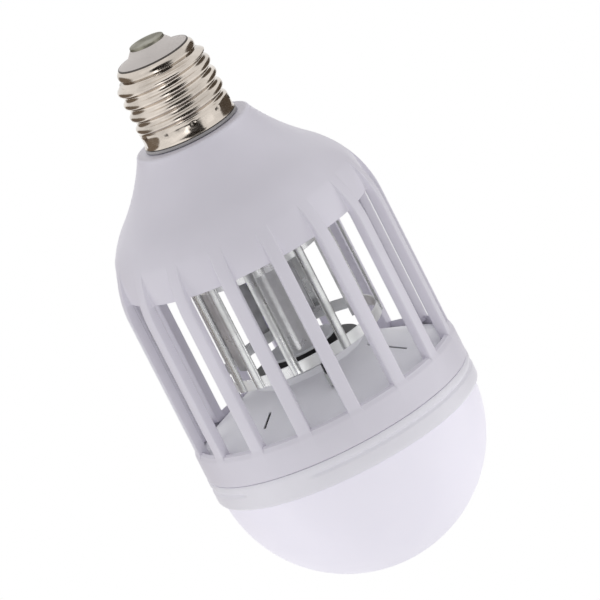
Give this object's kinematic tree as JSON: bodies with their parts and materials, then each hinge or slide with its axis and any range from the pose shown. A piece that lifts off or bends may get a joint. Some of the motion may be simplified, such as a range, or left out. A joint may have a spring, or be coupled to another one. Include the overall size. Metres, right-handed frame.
{
  "type": "insect killer light bulb",
  "caption": "Screw-cap lamp with a slotted white cage around two high-voltage electrodes and ultraviolet lamps, and a frosted dome with white lamps below.",
  "frame": {"origin": "centre of the outer face of the centre contact, on the bulb's axis", "axes": "+Z along the bulb's axis, out of the screw cap; -Y is the side that the picture shows; the bulb hangs cap up with its dome at the lowest point"},
  "size_m": [0.0766, 0.0766, 0.1566],
  "materials": {
    "white_plastic": "satin moulded white plastic with a faint lavender cast",
    "frosted_diffuser": "milky frosted plastic that spreads light",
    "nickel_plate": "nickel-plated rolled sheet",
    "contact_metal": "dull tinned contact",
    "grey_insulator": "matte grey insulator",
    "black_plastic": "black moulded plastic",
    "tinned_steel": "bright tinned steel sheet",
    "tinned_wire": "tinned wire",
    "screw_steel": "zinc-plated screw",
    "aluminium_sheet": "plain aluminium sheet",
    "circuit_board": "white solder mask",
    "transformer_tape": "amber winding tape",
    "lamp_phosphor": "yellow phosphor and yellow box film",
    "ultraviolet_lens": "violet lens",
    "red_insulation": "red lacquer and insulation",
    "white_insulation": "white cable sheath"
  },
  "bodies": {
    "root": {"centre_contact": "contact_metal", "cap_insulator": "grey_insulator", "screw_shell": "nickel_plate", "neck_ring": "black_plastic", "cage_housing": "white_plastic", "grid_plate": "white_plastic", "driver_board": "circuit_board", "mains_capacitor": "black_plastic", "step_up_transformer": "transformer_tape", "film_capacitor": "lamp_phosphor", "bridge_rectifier": "black_plastic", "fuse_resistor": "red_insulation", "live_lead": "tinned_wire", "neutral_lead": "tinned_wire", "grid_lead_inner": "red_insulation", "grid_lead_outer": "red_insulation", "inner_electrode": "tinned_steel", "outer_electrode": "tinned_steel", "lamp_post": "white_plastic", "post_flange": "grey_insulator", "base_disc": "black_plastic", "deck_cone": "white_plastic", "feed_cable": "white_insulation", "heat_sink": "aluminium_sheet", "led_board": "circuit_board", "board_screw_left": "screw_steel", "board_screw_right": "screw_steel", "lamp_collar": "white_plastic", "diffuser_dome": "frosted_diffuser", "electrode_foot_1": "black_plastic", "electrode_foot_2": "black_plastic", "electrode_foot_3": "black_plastic", "white_led_1": "lamp_phosphor", "white_led_2": "lamp_phosphor", "white_led_3": "lamp_phosphor", "white_led_4": "lamp_phosphor", "white_led_5": "lamp_phosphor", "white_led_6": "lamp_phosphor", "white_led_7": "lamp_phosphor", "white_led_8": "lamp_phosphor", "uv_strip_1": "circuit_board", "uv_strip_2": "circuit_board", "uv_strip_3": "circuit_board", "uv_led_1": "ultraviolet_lens", "uv_led_2": "ultraviolet_lens", "uv_led_3": "ultraviolet_lens", "uv_led_4": "ultraviolet_lens", "uv_led_5": "ultraviolet_lens", "uv_led_6": "ultraviolet_lens"}
  },
  "joints": []
}
